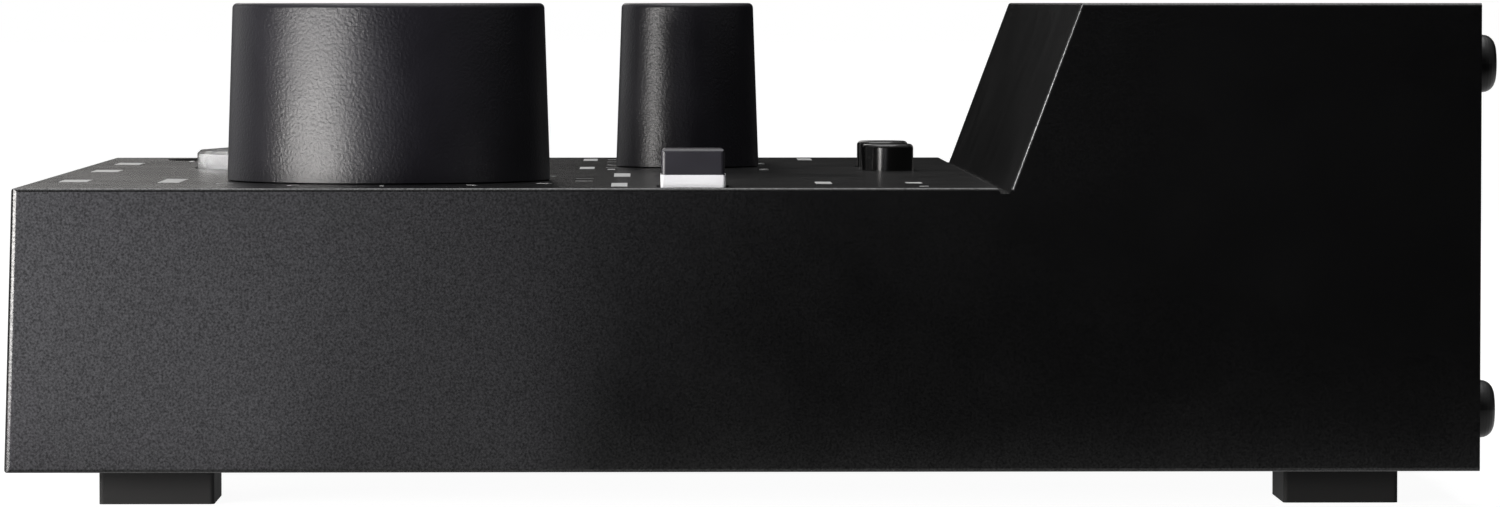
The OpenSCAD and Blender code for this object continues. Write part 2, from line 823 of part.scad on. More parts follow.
// Hollow turned knob with a boss on the shaft and a slot for its pointer line
module knob(foot_r, top_r, boss_r, pointer_from, pointer_to) {
    draft = (foot_r - top_r) / knob_h;
    roof_z = knob_h - knob_roof;
    boss_foot = bush_top + free - z_knob;
    translate([0, 0, z_knob]) difference() {
        rotate_extrude() polygon(concat(
            [[0, boss_foot], [boss_r, boss_foot], [boss_r, roof_z]],
            [[foot_r - knob_wall - draft * roof_z, roof_z], [foot_r - knob_wall, 0], [foot_r, 0]],
            fillet([foot_r, 0], [top_r, knob_h], [0, knob_h], knob_fillet),
            [[0, knob_h]]
        ));
        translate([0, 0, boss_foot - past]) linear_extrude(shaft_top + snug - z_knob - boss_foot + past)
            bore_section();
        translate([-pointer_w / 2, pointer_from, knob_h - pointer_t])
            cube([pointer_w, pointer_to - pointer_from, pointer_t + past]);
    }
}

// Painted line that fills the slot of a knob
module pointer(pointer_from, pointer_to) {
    translate([-pointer_w / 2, pointer_from, z_knob_top - pointer_t])
        cube([pointer_w, pointer_to - pointer_from, pointer_t]);
}

// Shaft from the potentiometer into the knob, with a flat above its bush
module pot_shaft() {
    difference() {
        translate([0, 0, shaft_foot]) cylinder(h = shaft_top - shaft_foot, r = shaft_r);
        block([-2 * shaft_r, -2 * shaft_r, bush_top], [2 * shaft_r, shaft_flat - shaft_r, shaft_top + past]);
    }
}

// Potentiometer between the main board and the deck, with its bush through the deck
module pot(body_w, bush_r) {
    difference() {
        union() {
            translate([-body_w / 2, -body_w / 2, z_board]) cube([body_w, body_w, board_drop]);
            translate([0, 0, z_board]) cylinder(h = bush_top - z_board, r = bush_r);
        }
        translate([0, 0, shaft_foot - free]) cylinder(h = case_h, r = shaft_r + shaft_gap);
    }
}

boss_wall = 1.8;
volume_boss_r = shaft_r + boss_wall;
gain_boss_r = shaft_r + boss_wall;
// Ends of the pointer lines from the knobs' axes
pointer_edge = 1;
volume_mark = [7, volume_top_r - pointer_edge];
gain_mark = [3, gain_top_r - pointer_edge];
volume_pot_w = 16;
gain_pot_w = 12;

module volume_knob() {
    color("#1a1a1c") translate([volume_x, volume_y])
        knob(volume_r, volume_top_r, volume_boss_r, volume_mark[0], volume_mark[1]);
}

module volume_pointer() {
    color("#e8e8e6") translate([volume_x, volume_y]) pointer(volume_mark[0], volume_mark[1]);
}

module volume_shaft() {
    color("#b9bbc0") translate([volume_x, volume_y]) pot_shaft();
}

module volume_pot() {
    color("#3b6ea0") translate([volume_x, volume_y]) pot(volume_pot_w, volume_bush_r);
}

module volume_nut() {
    color("#b9bbc0") translate([volume_x, volume_y, z_deck]) hex_nut(volume_bush_r);
}

module gain_knob(x) {
    color("#1a1a1c") translate([x, gain_y])
        knob(gain_r, gain_top_r, gain_boss_r, gain_mark[0], gain_mark[1]);
}

module gain_pointer(x) {
    color("#e8e8e6") translate([x, gain_y]) pointer(gain_mark[0], gain_mark[1]);
}

module gain_shaft(x) {
    color("#b9bbc0") translate([x, gain_y]) pot_shaft();
}

module gain_pot(x) {
    color("#3b6ea0") translate([x, gain_y]) pot(gain_pot_w, gain_bush_r);
}

module gain_nut(x) {
    color("#b9bbc0") translate([x, gain_y, z_deck]) hex_nut(gain_bush_r);
}

// FADER

slide_wall = 0.8;
carriage_len = 8;
carriage_h = 4;
carriage_lift = 0.5;
slide_room = fader_travel + carriage_len + 2 * free;
slide_end = 3;
slide_len = slide_room + 2 * slide_end;
z_slide = z_board + slide_h;
cap_foot = z_deck + knob_gap;
blade_top = cap_foot + fader_cap_h * 0.65;

module fader_body() {
    inner_w = slide_w - 2 * slide_wall;
    color("#a9abb0") translate([fader_x, fader_y, 0]) difference() {
        block([-slide_w / 2, -slide_len / 2, z_board], [slide_w / 2, slide_len / 2, z_slide]);
        block(
            [-inner_w / 2, -slide_room / 2, z_board + slide_wall],
            [inner_w / 2, slide_room / 2, z_slide - slide_wall]
        );
        block(
            [-fader_slot_w / 2, -fader_slot_len / 2, z_slide - slide_wall - past],
            [fader_slot_w / 2, fader_slot_len / 2, z_slide + past]
        );
    }
}

module fader_slider() {
    carriage_w = slide_w - 2 * slide_wall - 2 * free;
    carriage_z = z_board + slide_wall + carriage_lift;
    color("#2a2a2c") translate([fader_x, fader_y, 0]) {
        block(
            [-carriage_w / 2, -carriage_len / 2, carriage_z],
            [carriage_w / 2, carriage_len / 2, carriage_z + carriage_h]
        );
        block([-blade_t / 2, -blade_w / 2, carriage_z], [blade_t / 2, blade_w / 2, blade_top]);
    }
}

// Cap with sloping ends and two finger hollows beside its middle ridge
module fader_cap() {
    slope_in = 0.8;
    hollow_r = 5;
    hollow_depth = 1.3;
    hollow_y = fader_cap_len * 0.23;
    half_len = fader_cap_len / 2;
    color("#1a1a1c") translate([fader_x, fader_y, cap_foot]) difference() {
        along_x(-fader_cap_w / 2, fader_cap_w / 2) polygon([
            [-half_len, 0],
            [half_len, 0],
            [half_len - slope_in, fader_cap_h],
            [slope_in - half_len, fader_cap_h]
        ]);
        for (side = [-1, 1]) {
            translate([-fader_cap_w / 2 - past, side * hollow_y, fader_cap_h + hollow_r - hollow_depth])
                rotate([0, 90, 0]) cylinder(h = fader_cap_w + 2 * past, r = hollow_r);
        }
        block(
            [-blade_t / 2 - snug, -blade_w / 2 - snug, -past],
            [blade_t / 2 + snug, blade_w / 2 + snug, blade_top - cap_foot + snug]
        );
    }
}

// BUTTONS

flange_t = 1.1;
flange_reach = 0.9;
// Heights from the top of the deck
flange_head = -sheet - free;
flange_foot = flange_head - flange_t;
board_level = -sheet - board_drop;
switch_level = board_level + switch_h;
stem_reach = 1.4;
stem_foot = switch_level - stem_reach;
switch_floor = 1;
stem_pit = board_level + switch_floor;
talk_switch_w = 12;
mute_switch_w = 8;
round_switch_w = 6;

// Switch on the main board with the pit for a stem
module button_switch(body_w) {
    translate([0, 0, z_deck]) difference() {
        block([-body_w / 2, -body_w / 2, board_level], [body_w / 2, body_w / 2, switch_level]);
        translate([0, 0, stem_pit]) cylinder(h = switch_h + past, r = stem_r + stem_gap);
    }
}

// Stem from under the deck into the switch
module button_stem(top) {
    translate([0, 0, stem_foot]) cylinder(h = top - stem_foot, r = stem_r);
}

talk_inner_r = talk_r - lens_wall;
talk_edge = 0.4;

// Points of the talk button's dome from its axis out to a radius, lowered by a distance
function talk_dome(reach, lower, steps = 8) = [for (i = [0:steps])
    let (x = reach * i / steps)
    [x, talk_rise + talk_crown * (1 - pow(x / (talk_r - talk_edge), 2)) - lower]];

function backwards(list) = [for (i = [len(list) - 1:-1:0]) list[i]];

module talk_lens() {
    color("#dfe6ea") translate([talk_x, talk_y, z_deck]) rotate_extrude() polygon(concat(
        talk_dome(talk_inner_r, lens_roof),
        [[talk_inner_r, flange_foot], [talk_r + flange_reach, flange_foot]],
        [[talk_r + flange_reach, flange_head], [talk_r, flange_head], [talk_r, talk_rise - talk_edge]],
        backwards(talk_dome(talk_r - talk_edge, 0))
    ));
}

module talk_diffuser() {
    disc_t = 1.2;
    rim_t = 1.2;
    disc_r = talk_inner_r - snug;
    disc_foot = talk_rise - lens_roof - disc_t;
    color("#f4f4f2") translate([talk_x, talk_y, z_deck]) {
        rotate_extrude() polygon(concat(
            [[0, disc_foot], [disc_r - rim_t, disc_foot]],
            [[disc_r - rim_t, flange_foot], [disc_r, flange_foot]],
            backwards(talk_dome(disc_r, lens_roof + snug))
        ));
        button_stem(disc_foot + disc_t / 2);
    }
}

module talk_switch() {
    color("#232326") translate([talk_x, talk_y]) button_switch(talk_switch_w);
}

module mute_skirt() {
    skirt_r = 0.35;
    flange_len = mute_len + 2 * flange_reach;
    flange_across = mute_w + 2 * flange_reach;
    color("#f4f4f2") translate([mute_x, mute_y, z_deck]) {
        translate([0, 0, flange_foot]) linear_extrude(skirt_h - flange_foot)
            round_rect([-mute_w / 2, -mute_len / 2], [mute_w / 2, mute_len / 2], skirt_r);
        block(
            [-flange_across / 2, -flange_len / 2, flange_foot],
            [flange_across / 2, flange_len / 2, flange_head]
        );
        button_stem(flange_foot + flange_t / 2);
    }
}

// Cap with every outer edge rounded, on the skirt
module mute_cap() {
    cap_r = 0.45;
    half_w = mute_w / 2 - cap_step;
    half_len = mute_len / 2 - cap_step;
    low = skirt_h;
    high = skirt_h + mute_cap_h;
    color("#2a2a2d") translate([mute_x, mute_y, z_deck]) intersection() {
        translate([0, 0, low]) linear_extrude(mute_cap_h)
            round_rect([-half_w, -half_len], [half_w, half_len], cap_r);
        along_y(-half_len, half_len) round_rect([-half_w, low - 2 * cap_r], [half_w, high], cap_r);
        along_x(-half_w, half_w) round_rect([-half_len, low - 2 * cap_r], [half_len, high], cap_r);
    }
}

module mute_switch() {
    color("#232326") translate([mute_x, mute_y]) button_switch(mute_switch_w);
}

module round_button(x) {
    color("#161618") translate([x, round_y, z_deck]) {
        rotate_extrude() polygon(concat(
            [[0, flange_foot], [round_r + flange_reach, flange_foot], [round_r + flange_reach, flange_head]],
            [[round_r, flange_head]],
            fillet([round_r, flange_head], [round_r, round_h], [0, round_h], round_fillet),
            [[0, round_h]]
        ));
        button_stem(flange_foot + flange_t / 2);
    }
}

module round_switches() {
    color("#232326") for (x = [round_left_x, round_right_x]) {
        translate([x, round_y]) button_switch(round_switch_w);
    }
}

// Light pipes from the main board to the deck with a domed end
module signal_lamps() {
    lamp_rise = 0.15;
    lamp_top = board_drop + sheet + lamp_rise;
    color("#d9efe0") for (x = lamp_xs) {
        translate([x, lamp_y, z_board]) rotate_extrude() polygon(concat(
            [[0, 0], [2 * lamp_r, 0], [2 * lamp_r, board_drop - free], [lamp_r, board_drop - free]],
            fillet([lamp_r, 0], [lamp_r, lamp_top], [0, lamp_top], lamp_rise),
            [[0, lamp_top]]
        ));
    }
}

// FRONT JACKS

// Jack hanging under the main board, its nose in the front panel and its bore from the mouth
module front_jack(x, body_w, below, nose_r, bore_r, bore_len) {
    mouth = panel_at(z_front_jack + nose_r);
    back = mouth + bore_len + jack_back;
    wall = panel_back_at(z_under_board) + panel_gap;
    difference() {
        union() {
            block([x - body_w / 2, wall, z_front_jack - below], [x + body_w / 2, back, z_under_board]);
            rod_y(x, z_front_jack, mouth, wall + past, nose_r);
        }
        rod_y(x, z_front_jack, mouth - past, mouth + bore_len, bore_r);
    }
}

module phones_jack(x) {
    color("#222225") front_jack(x, phones_w, phones_below, phones_nose_r, jack_bore_r, jack_bore_len);
}

module headset_jack() {
    color("#222225")
        front_jack(headset_x, headset_w, headset_below, headset_nose_r, headset_bore_r, headset_bore_len);
}

// REAR SOCKETS

combo_screw_x = 9.5;
combo_screw_z = 12;
combo_flange_t = 2.2;
combo_body_w = 24;
y_combo_back = y_panel - socket_d;
insert_recess = 1;

// Combo socket: flange behind the panel, nose through it, body down to the rear board
module combo_shell(x) {
    y_flange = y_panel - combo_flange_t;
    color("#1e1e20") difference() {
        union() {
            block(
                [x - combo_w / 2, y_flange, z_combo - combo_h / 2],
                [x + combo_w / 2, y_panel, z_combo + combo_h / 2]
            );
            block(
                [x - combo_body_w / 2, y_combo_back, z_rear_board],
                [x + combo_body_w / 2, y_flange + past, z_combo + combo_body_w / 2]
            );
            rod_y(x, z_combo, y_flange, y_rear, combo_r);
        }
        rod_y(x, z_combo, y_rear - combo_well_len, y_rear + past, combo_well_r);
        rod_y(x, z_combo, y_rear - jack_bore_len, y_rear, jack_bore_r);
        for (side = [-1, 1]) {
            rod_y(x + side * combo_screw_x, z_combo + side * combo_screw_z,
                y_rear - screw_len - past, y_rear, screw_r + snug);
        }
    }
}

// Contact insert in the well with the jack's bore and three contact holes
module combo_insert(x) {
    contact_r = 1.2;
    contact_ring = 5.8;
    mouth = y_rear - insert_recess;
    color("#2b2b2e") difference() {
        rod_y(x, z_combo, y_rear - combo_well_len, mouth, combo_insert_r);
        rod_y(x, z_combo, y_rear - combo_well_len - past, mouth + past, jack_bore_r);
        for (turn = [90, 210, 330]) {
            rod_y(x + contact_ring * cos(turn), z_combo + contact_ring * sin(turn),
                mouth - combo_well_len / 2, mouth + past, contact_r);
        }
    }
}

module combo_screws() {
    color("#2c2c2e") for (x = [combo_left_x, combo_right_x], side = [-1, 1]) {
        translate([x + side * combo_screw_x, y_rear, z_combo + side * combo_screw_z]) rotate([-90, 0, 0])
            pan_screw(small_head_r, small_head_h);
    }
}

// Line jack on the rear board with its bush through the panel
module line_jack(x) {
    mouth = y_rear + nut_h + snug;
    color("#222225") difference() {
        union() {
            block(
                [x - line_w / 2, y_panel - socket_d, z_rear_board],
                [x + line_w / 2, y_panel, z_line + line_axis]
            );
            rod_y(x, z_line, y_panel - past, mouth, line_bush_r);
        }
        rod_y(x, z_line, mouth - jack_bore_len, mouth + past, jack_bore_r);
    }
}

module line_nuts() {
    color("#b9bbc0") for (x = [line_left_x, line_right_x]) {
        translate([x, y_rear, z_line]) rotate([-90, 0, 0]) hex_nut(line_bush_r);
    }
}

// Outline of the USB socket, grown by a margin
module usb_outline(margin) {
    half_w = usb_w / 2 + margin;
    half_h = usb_h / 2 + margin;
    end_flat = 0.1;
    round_rect([usb_x - half_w, z_usb - half_h], [usb_x + half_w, z_usb + half_h], half_h - end_flat);
}

usb_back = y_rear - usb_len;
usb_block = 2.5;

module usb_shell() {
    color("#b9bbc0") difference() {
        along_y(usb_back, y_rear) usb_outline(usb_wall);
        along_y(usb_back - past, y_rear + past) usb_outline(0);
    }
}

module usb_tongue() {
    tongue_w = 6.7;
    tongue_t = 0.7;
    tongue_recess = 1;
    color("#1c1c1e") {
        along_y(usb_back, usb_back + usb_block) usb_outline(-snug);
        block(
            [usb_x - tongue_w / 2, usb_back, z_usb - tongue_t / 2],
            [usb_x + tongue_w / 2, y_rear - tongue_recess, z_usb + tongue_t / 2]
        );
    }
}

// POWER ROCKER

rocker_house_d = 12;
rocker_pivot = 3;
rocker_pin_r = 1;
rocker_y = y_rear - rocker_pivot;
rocker_room = rocker_r + free;

// Frame on the panel and the open box behind it that holds the rocker's pins
module power_bezel() {
    house_h = rocker_room + bezel_wall;
    half_w = rocker_house_w / 2;
    room_w = rocker_w / 2 + free;
    lip_r = 1;
    color("#1a1a1c") difference() {
        union() {
            along_y(y_rear, y_rear + bezel_t) round_rect(
                [usb_x - half_w - bezel_lip, rocker_z - house_h - bezel_lip],
                [usb_x + half_w + bezel_lip, rocker_z + house_h + bezel_lip],
                lip_r
            );
            block(
                [usb_x - half_w, y_rear - rocker_house_d, rocker_z - house_h],
                [usb_x + half_w, y_rear + bezel_t / 2, rocker_z + house_h]
            );
        }
        block(
            [usb_x - room_w, y_rear - rocker_house_d + bezel_wall, rocker_z - rocker_room],
            [usb_x + room_w, y_rear + bezel_t + past, rocker_z + rocker_room]
        );
        translate([usb_x - half_w - past, rocker_y, rocker_z]) rotate([0, 90, 0])
            cylinder(h = rocker_house_w + 2 * past, r = rocker_pin_r + shaft_gap);
    }
}

// Rocker with a hollow V face and round ends about its pins, tilted to off
module power_rocker() {
    behind_screws = 0.15;
    face = rocker_pivot + rear_head_h - behind_screws - rocker_r * sin(rocker_tilt);
    dip = 0.9;
    back = 3.5;
    pin_end_gap = 0.2;
    pin_len = rocker_house_w - 2 * pin_end_gap;
    color("#202022") translate([usb_x, rocker_y, rocker_z]) rotate([rocker_tilt, 0, 0]) {
        intersection() {
            along_x(-rocker_w / 2, rocker_w / 2) polygon([
                [-back, -rocker_r],
                [face, -rocker_r],
                [face - dip, 0],
                [face, rocker_r],
                [-back, rocker_r]
            ]);
            translate([-rocker_w, 0, 0]) rotate([0, 90, 0]) cylinder(h = 2 * rocker_w, r = rocker_r);
        }
        translate([-pin_len / 2, 0, 0]) rotate([0, 90, 0]) cylinder(h = pin_len, r = rocker_pin_r);
    }
}

top_cover();
base_plate();
front_panel();
rear_panel();
rubber_feet();
rear_screws();
base_screws();
main_board();
board_chips();
board_spacers();
board_screws();
rear_board();
rear_spacers();
rear_board_screws();
ribbon_cable();
ribbon_headers();
volume_knob();
volume_pointer();
volume_shaft();
volume_pot();
volume_nut();
gain_knob(gain_left_x);  // gain_knob_left
gain_pointer(gain_left_x);  // gain_pointer_left
gain_shaft(gain_left_x);  // gain_shaft_left
gain_pot(gain_left_x);  // gain_pot_left
gain_nut(gain_left_x);  // gain_nut_left
gain_knob(gain_right_x);  // gain_knob_right
gain_pointer(gain_right_x);  // gain_pointer_right
gain_shaft(gain_right_x);  // gain_shaft_right
gain_pot(gain_right_x);  // gain_pot_right
gain_nut(gain_right_x);  // gain_nut_right
fader_cap();
fader_slider();
fader_body();
talk_lens();
talk_diffuser();
talk_switch();
mute_cap();
mute_skirt();
mute_switch();
round_button(round_left_x);  // round_button_left
round_button(round_right_x);  // round_button_right
round_switches();
signal_lamps();
phones_jack(phones_left_x);  // phones_jack_left
phones_jack(phones_right_x);  // phones_jack_right
headset_jack();
combo_shell(combo_left_x);  // combo_shell_left
combo_insert(combo_left_x);  // combo_insert_left
combo_shell(combo_right_x);  // combo_shell_right
combo_insert(combo_right_x);  // combo_insert_right
combo_screws();
line_jack(line_left_x);  // line_jack_left
line_jack(line_right_x);  // line_jack_right
line_nuts();
usb_shell();
usb_tongue();
power_bezel();
power_rocker();
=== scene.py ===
"""Looks of the desktop audio mixer.

Materials, deck print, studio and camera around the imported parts.
"""
import math

import bmesh
import bpy
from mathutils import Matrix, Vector


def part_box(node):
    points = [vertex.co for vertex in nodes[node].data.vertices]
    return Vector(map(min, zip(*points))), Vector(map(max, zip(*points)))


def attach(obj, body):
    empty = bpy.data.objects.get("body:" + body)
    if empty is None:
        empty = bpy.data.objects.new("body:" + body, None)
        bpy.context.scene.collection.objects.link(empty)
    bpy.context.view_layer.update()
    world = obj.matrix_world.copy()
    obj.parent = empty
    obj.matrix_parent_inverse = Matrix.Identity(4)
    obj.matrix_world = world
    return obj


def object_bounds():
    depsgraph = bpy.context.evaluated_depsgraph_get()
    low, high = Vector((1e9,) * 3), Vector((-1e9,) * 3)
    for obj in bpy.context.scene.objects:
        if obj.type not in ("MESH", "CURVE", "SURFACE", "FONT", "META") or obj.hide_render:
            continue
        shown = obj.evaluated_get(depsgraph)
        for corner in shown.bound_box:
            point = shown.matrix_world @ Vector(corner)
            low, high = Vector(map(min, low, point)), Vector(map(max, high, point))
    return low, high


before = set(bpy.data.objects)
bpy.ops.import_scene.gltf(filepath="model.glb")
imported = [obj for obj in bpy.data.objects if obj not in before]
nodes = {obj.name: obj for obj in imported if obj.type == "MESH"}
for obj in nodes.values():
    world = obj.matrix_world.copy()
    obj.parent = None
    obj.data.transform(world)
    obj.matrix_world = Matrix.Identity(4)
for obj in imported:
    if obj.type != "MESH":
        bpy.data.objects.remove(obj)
cad_low, cad_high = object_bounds()
MM = 0.001

# Deck level and front edge that the print and the painted shade strip follow, in metres
deck_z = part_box("volume_nut")[0].z
front_y = cad_low.y


def middle(node):
    """Middle of a node's box."""
    low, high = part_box(node)
    return (low + high) / 2


# Material building blocks

# Most values of a noise lie between these
NOISE_LOW, NOISE_HIGH = 0.3, 0.7
# Size and detail of the patches of uneven colour and gloss
CLOUD_SIZE = 8 * MM
CLOUD_DETAIL = 4.0


def new_shader(name):
    """A node material and its principled shader."""
    material = bpy.data.materials.new(name)
    material.use_nodes = True
    return material, material.node_tree, material.node_tree.nodes["Principled BSDF"]


def object_noise(tree, grain, detail=2.0):
    """Noise in the object's own metres, with features of about one grain."""
    place = tree.nodes.new("ShaderNodeTexCoord")
    noise = tree.nodes.new("ShaderNodeTexNoise")
    noise.inputs["Scale"].default_value = 1 / grain
    noise.inputs["Detail"].default_value = detail
    noise.inputs["Roughness"].default_value = 0.55
    tree.links.new(place.outputs["Object"], noise.inputs["Vector"])
    return noise.outputs["Fac"]


def spread(tree, value, low, high, start=NOISE_LOW, stop=NOISE_HIGH):
    """Maps a value that runs from start to stop to the numbers from low to high."""
    node = tree.nodes.new("ShaderNodeMapRange")
    node.inputs["From Min"].default_value = start
    node.inputs["From Max"].default_value = stop
    node.inputs["To Min"].default_value = low
    node.inputs["To Max"].default_value = high
    tree.links.new(value, node.inputs["Value"])
    return node.outputs["Result"]


def two_tones(tree, value, dark, light):
    """Colour between two tones, by a noise value."""
    ramp = tree.nodes.new("ShaderNodeValToRGB")
    first, last = ramp.color_ramp.elements
    first.position, first.color = NOISE_LOW, (*dark, 1)
    last.position, last.color = NOISE_HIGH, (*light, 1)
    tree.links.new(value, ramp.inputs["Fac"])
    return ramp.outputs["Color"]


def relief(tree, shader, value, depth):
    """Bump of a given depth on a shader."""
    bump = tree.nodes.new("ShaderNodeBump")
    bump.inputs["Distance"].default_value = depth
    tree.links.new(value, bump.inputs["Height"])
    tree.links.new(bump.outputs["Normal"], shader.inputs["Normal"])


def tone(grey, tint=(1, 1, 1)):
    """A grey with a tint."""
    return tuple(grey * t for t in tint)


def finish_coat(name, dark, light, rough, grain, depth, metal=0.0, specular=0.5, patch=CLOUD_SIZE):
    """A surface with cloudy colour, uneven gloss and a fine relief."""
    material, tree, shader = new_shader(name)
    cloud = object_noise(tree, patch, CLOUD_DETAIL)
    tree.links.new(two_tones(tree, cloud, dark, light), shader.inputs["Base Color"])
    tree.links.new(spread(tree, cloud, *rough), shader.inputs["Roughness"])
    shader.inputs["Metallic"].default_value = metal
    shader.inputs["Specular IOR Level"].default_value = specular
    relief(tree, shader, object_noise(tree, grain), depth)
    return material


def powder_coat(name, dark, light, upright_rough, level_rough, grain, depth):
    """Speckled black coat, a little smoother on upright faces than on those that look up."""
    # Upward part of the normal at which a face counts as upright or as level
    upright, level = 0.5, 0.95
    # Reflection of the speckles
    dull, bright = 0.24, 0.76
    material, tree, shader = new_shader(name)
    cloud = object_noise(tree, CLOUD_SIZE, CLOUD_DETAIL)
    fine = object_noise(tree, grain)
    tree.links.new(two_tones(tree, fine, dark, light), shader.inputs["Base Color"])
    shape = tree.nodes.new("ShaderNodeNewGeometry")
    parts = tree.nodes.new("ShaderNodeSeparateXYZ")
    tree.links.new(shape.outputs["True Normal"], parts.inputs[0])
    rough = tree.nodes.new("ShaderNodeMapRange")
    rough.inputs["From Min"].default_value = upright
    rough.inputs["From Max"].default_value = level
    tree.links.new(parts.outputs["Z"], rough.inputs["Value"])
    tree.links.new(spread(tree, cloud, *upright_rough), rough.inputs["To Min"])
    tree.links.new(spread(tree, cloud, *level_rough), rough.inputs["To Max"])
    tree.links.new(rough.outputs["Result"], shader.inputs["Roughness"])
    tree.links.new(spread(tree, fine, dull, bright), shader.inputs["Specular IOR Level"])
    relief(tree, shader, fine, depth)
    return material


def milky_plastic(name, dark, light, rough):
    """Lightly frosted acrylic that lets most of the light through."""
    patch, detail = 3 * MM, 3.0
    frost_depth = 0.002 * MM
    material, tree, shader = new_shader(name)
    cloud = object_noise(tree, patch, detail)
    tree.links.new(two_tones(tree, cloud, dark, light), shader.inputs["Base Color"])
    shader.inputs["Transmission Weight"].default_value = 0.85
    shader.inputs["IOR"].default_value = 1.49
    tree.links.new(spread(tree, cloud, *rough), shader.inputs["Roughness"])
    relief(tree, shader, cloud, frost_depth)
    return material


# Tints of the blacks and whites
COOL = (0.98, 0.99, 1.04)
VIOLET = (1.0, 0.94, 1.28)
PALE = (0.985, 0.99, 1.025)

# Finishes: two tones, range of roughness, then grain and depth of the relief
powder = powder_coat(
    "powder_coat", tone(0.0024, COOL), tone(0.0040, COOL),
    upright_rough=(0.20, 0.25), level_rough=(0.22, 0.27), grain=0.24 * MM, depth=0.003 * MM)
knob_skin = finish_coat(
    "knob_plastic", tone(0.0075, VIOLET), tone(0.0105, VIOLET), (0.32, 0.38), 0.34 * MM, 0.05 * MM,
    specular=0.38)
cap_skin = finish_coat(
    "cap_plastic", tone(0.014, VIOLET), tone(0.018, VIOLET), (0.34, 0.42), 0.3 * MM, 0.004 * MM)
button_skin = finish_coat(
    "button_plastic", tone(0.006), tone(0.009), (0.17, 0.23), 0.4 * MM, 0.003 * MM)
rubber = finish_coat(
    "foot_rubber", tone(0.010), tone(0.016), (0.7, 0.85), 0.25 * MM, 0.02 * MM, specular=0.3)
# Near-black, fully rough strip round the fader's slot: painted shade standing in for a recessed
# channel
shade_strip_black = finish_coat(
    "slot_painted_shade", tone(0.003), tone(0.006), (0.9, 1.0), 0.15 * MM, 0.02 * MM, specular=0.1)
black_zinc = finish_coat(
    "black_zinc", tone(0.016), tone(0.026), (0.3, 0.42), 0.2 * MM, 0.003 * MM, metal=0.6)
white_skin = finish_coat(
    "white_plastic", tone(0.84, PALE), tone(0.90, PALE), (0.3, 0.4), 0.4 * MM, 0.002 * MM)
lamp_skin = finish_coat(
    "lamp_plastic", tone(0.14), tone(0.18), (0.25, 0.35), 0.3 * MM, 0.002 * MM)
print_ink = finish_coat(
    "print_ink", tone(0.46), tone(0.54), (0.5, 0.6), 0.12 * MM, 0.002 * MM, patch=1 * MM)
socket_skin = finish_coat(
    "socket_plastic", tone(0.010), tone(0.015), (0.35, 0.45), 0.3 * MM, 0.004 * MM)
steel = finish_coat(
    "bright_steel", tone(0.52), tone(0.62), (0.22, 0.34), 0.15 * MM, 0.001 * MM, metal=1.0)
laminate = finish_coat(
    "board_laminate", (0.010, 0.060, 0.026), (0.014, 0.080, 0.036), (0.3, 0.4), 0.5 * MM, 0.002 * MM)
pot_skin = finish_coat(
    "pot_plastic", (0.03, 0.08, 0.20), (0.04, 0.10, 0.24), (0.4, 0.5), 0.3 * MM, 0.003 * MM)
cable_skin = finish_coat(
    "cable_plastic", tone(0.34), tone(0.42), (0.4, 0.5), 0.3 * MM, 0.003 * MM)
milky = milky_plastic("clear_plastic", tone(0.90), tone(0.95), (0.08, 0.14))

LOOKS = {
    powder: ["top_cover", "front_panel", "rear_panel", "base_plate"],
    rubber: ["rubber_feet"],
    black_zinc: [
        "rear_screws", "base_screws", "combo_screws", "volume_nut", "gain_nut_left", "gain_nut_right",
    ],
    knob_skin: ["volume_knob", "gain_knob_left", "gain_knob_right", "fader_cap"],
    button_skin: ["round_button_left", "round_button_right"],
    cap_skin: ["mute_cap"],
    white_skin: [
        "mute_skirt", "talk_diffuser", "volume_pointer", "gain_pointer_left", "gain_pointer_right",
    ],
    milky: ["talk_lens"],
    lamp_skin: ["signal_lamps"],
    steel: [
        "volume_shaft", "gain_shaft_left", "gain_shaft_right", "board_spacers", "board_screws",
        "rear_spacers", "rear_board_screws", "line_nuts", "usb_shell", "fader_body",
    ],
    laminate: ["main_board", "rear_board"],
    pot_skin: ["volume_pot", "gain_pot_left", "gain_pot_right"],
    cable_skin: ["ribbon_cable", "ribbon_headers"],
    socket_skin: [
        "board_chips", "talk_switch", "mute_switch", "round_switches", "phones_jack_left",
        "phones_jack_right", "headset_jack", "combo_shell_left", "combo_insert_left",
        "combo_shell_right", "combo_insert_right", "line_jack_left", "line_jack_right", "usb_tongue",
        "power_bezel", "power_rocker", "fader_slider",
    ],
}
for material, names in LOOKS.items():
    for name in names:
        nodes[name].data.materials.clear()
        nodes[name].data.materials.append(material)

# Even shading over the seam of each turned piece, with its sharp edges kept
SEAM_REACH = 0.0005 * MM
SHARP_EDGE = math.radians(40)
TURNED = (
    "volume_knob", "gain_knob_left", "gain_knob_right", "round_button_left", "round_button_right",
    "talk_lens", "talk_diffuser", "signal_lamps",
)
for name in TURNED:
    nodes[name].modifiers.new("weld", "WELD").merge_threshold = SEAM_REACH
    nodes[name].modifiers.new("split", "EDGE_SPLIT").split_angle = SHARP_EDGE
    nodes[name].modifiers.new("weighted", "WEIGHTED_NORMAL")


# Painted shade strip and print on the deck

def mesh_piece(name, mesh, material, body):
    """A piece of the visual model that rides on a body, from a finished mesh."""
    data = bpy.data.meshes.new(name)
    mesh.to_mesh(data)
    mesh.free()
    data.materials.append(material)
    piece = bpy.data.objects.new(name, data)
    bpy.context.scene.collection.objects.link(piece)
    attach(piece, body)


def round_ended(centre, width, length, steps=16):
    """Outline of a strip along Y with round ends, in the plane of the deck."""
    radius = width / 2
    straight = length / 2 - radius
    points = []
    for side in (1, -1):
        for i in range(steps + 1):
            turn = math.pi * i / steps
            x = centre.x + side * radius * math.cos(turn)
            points.append((x, centre.y + side * (straight + radius * math.sin(turn))))
    return points


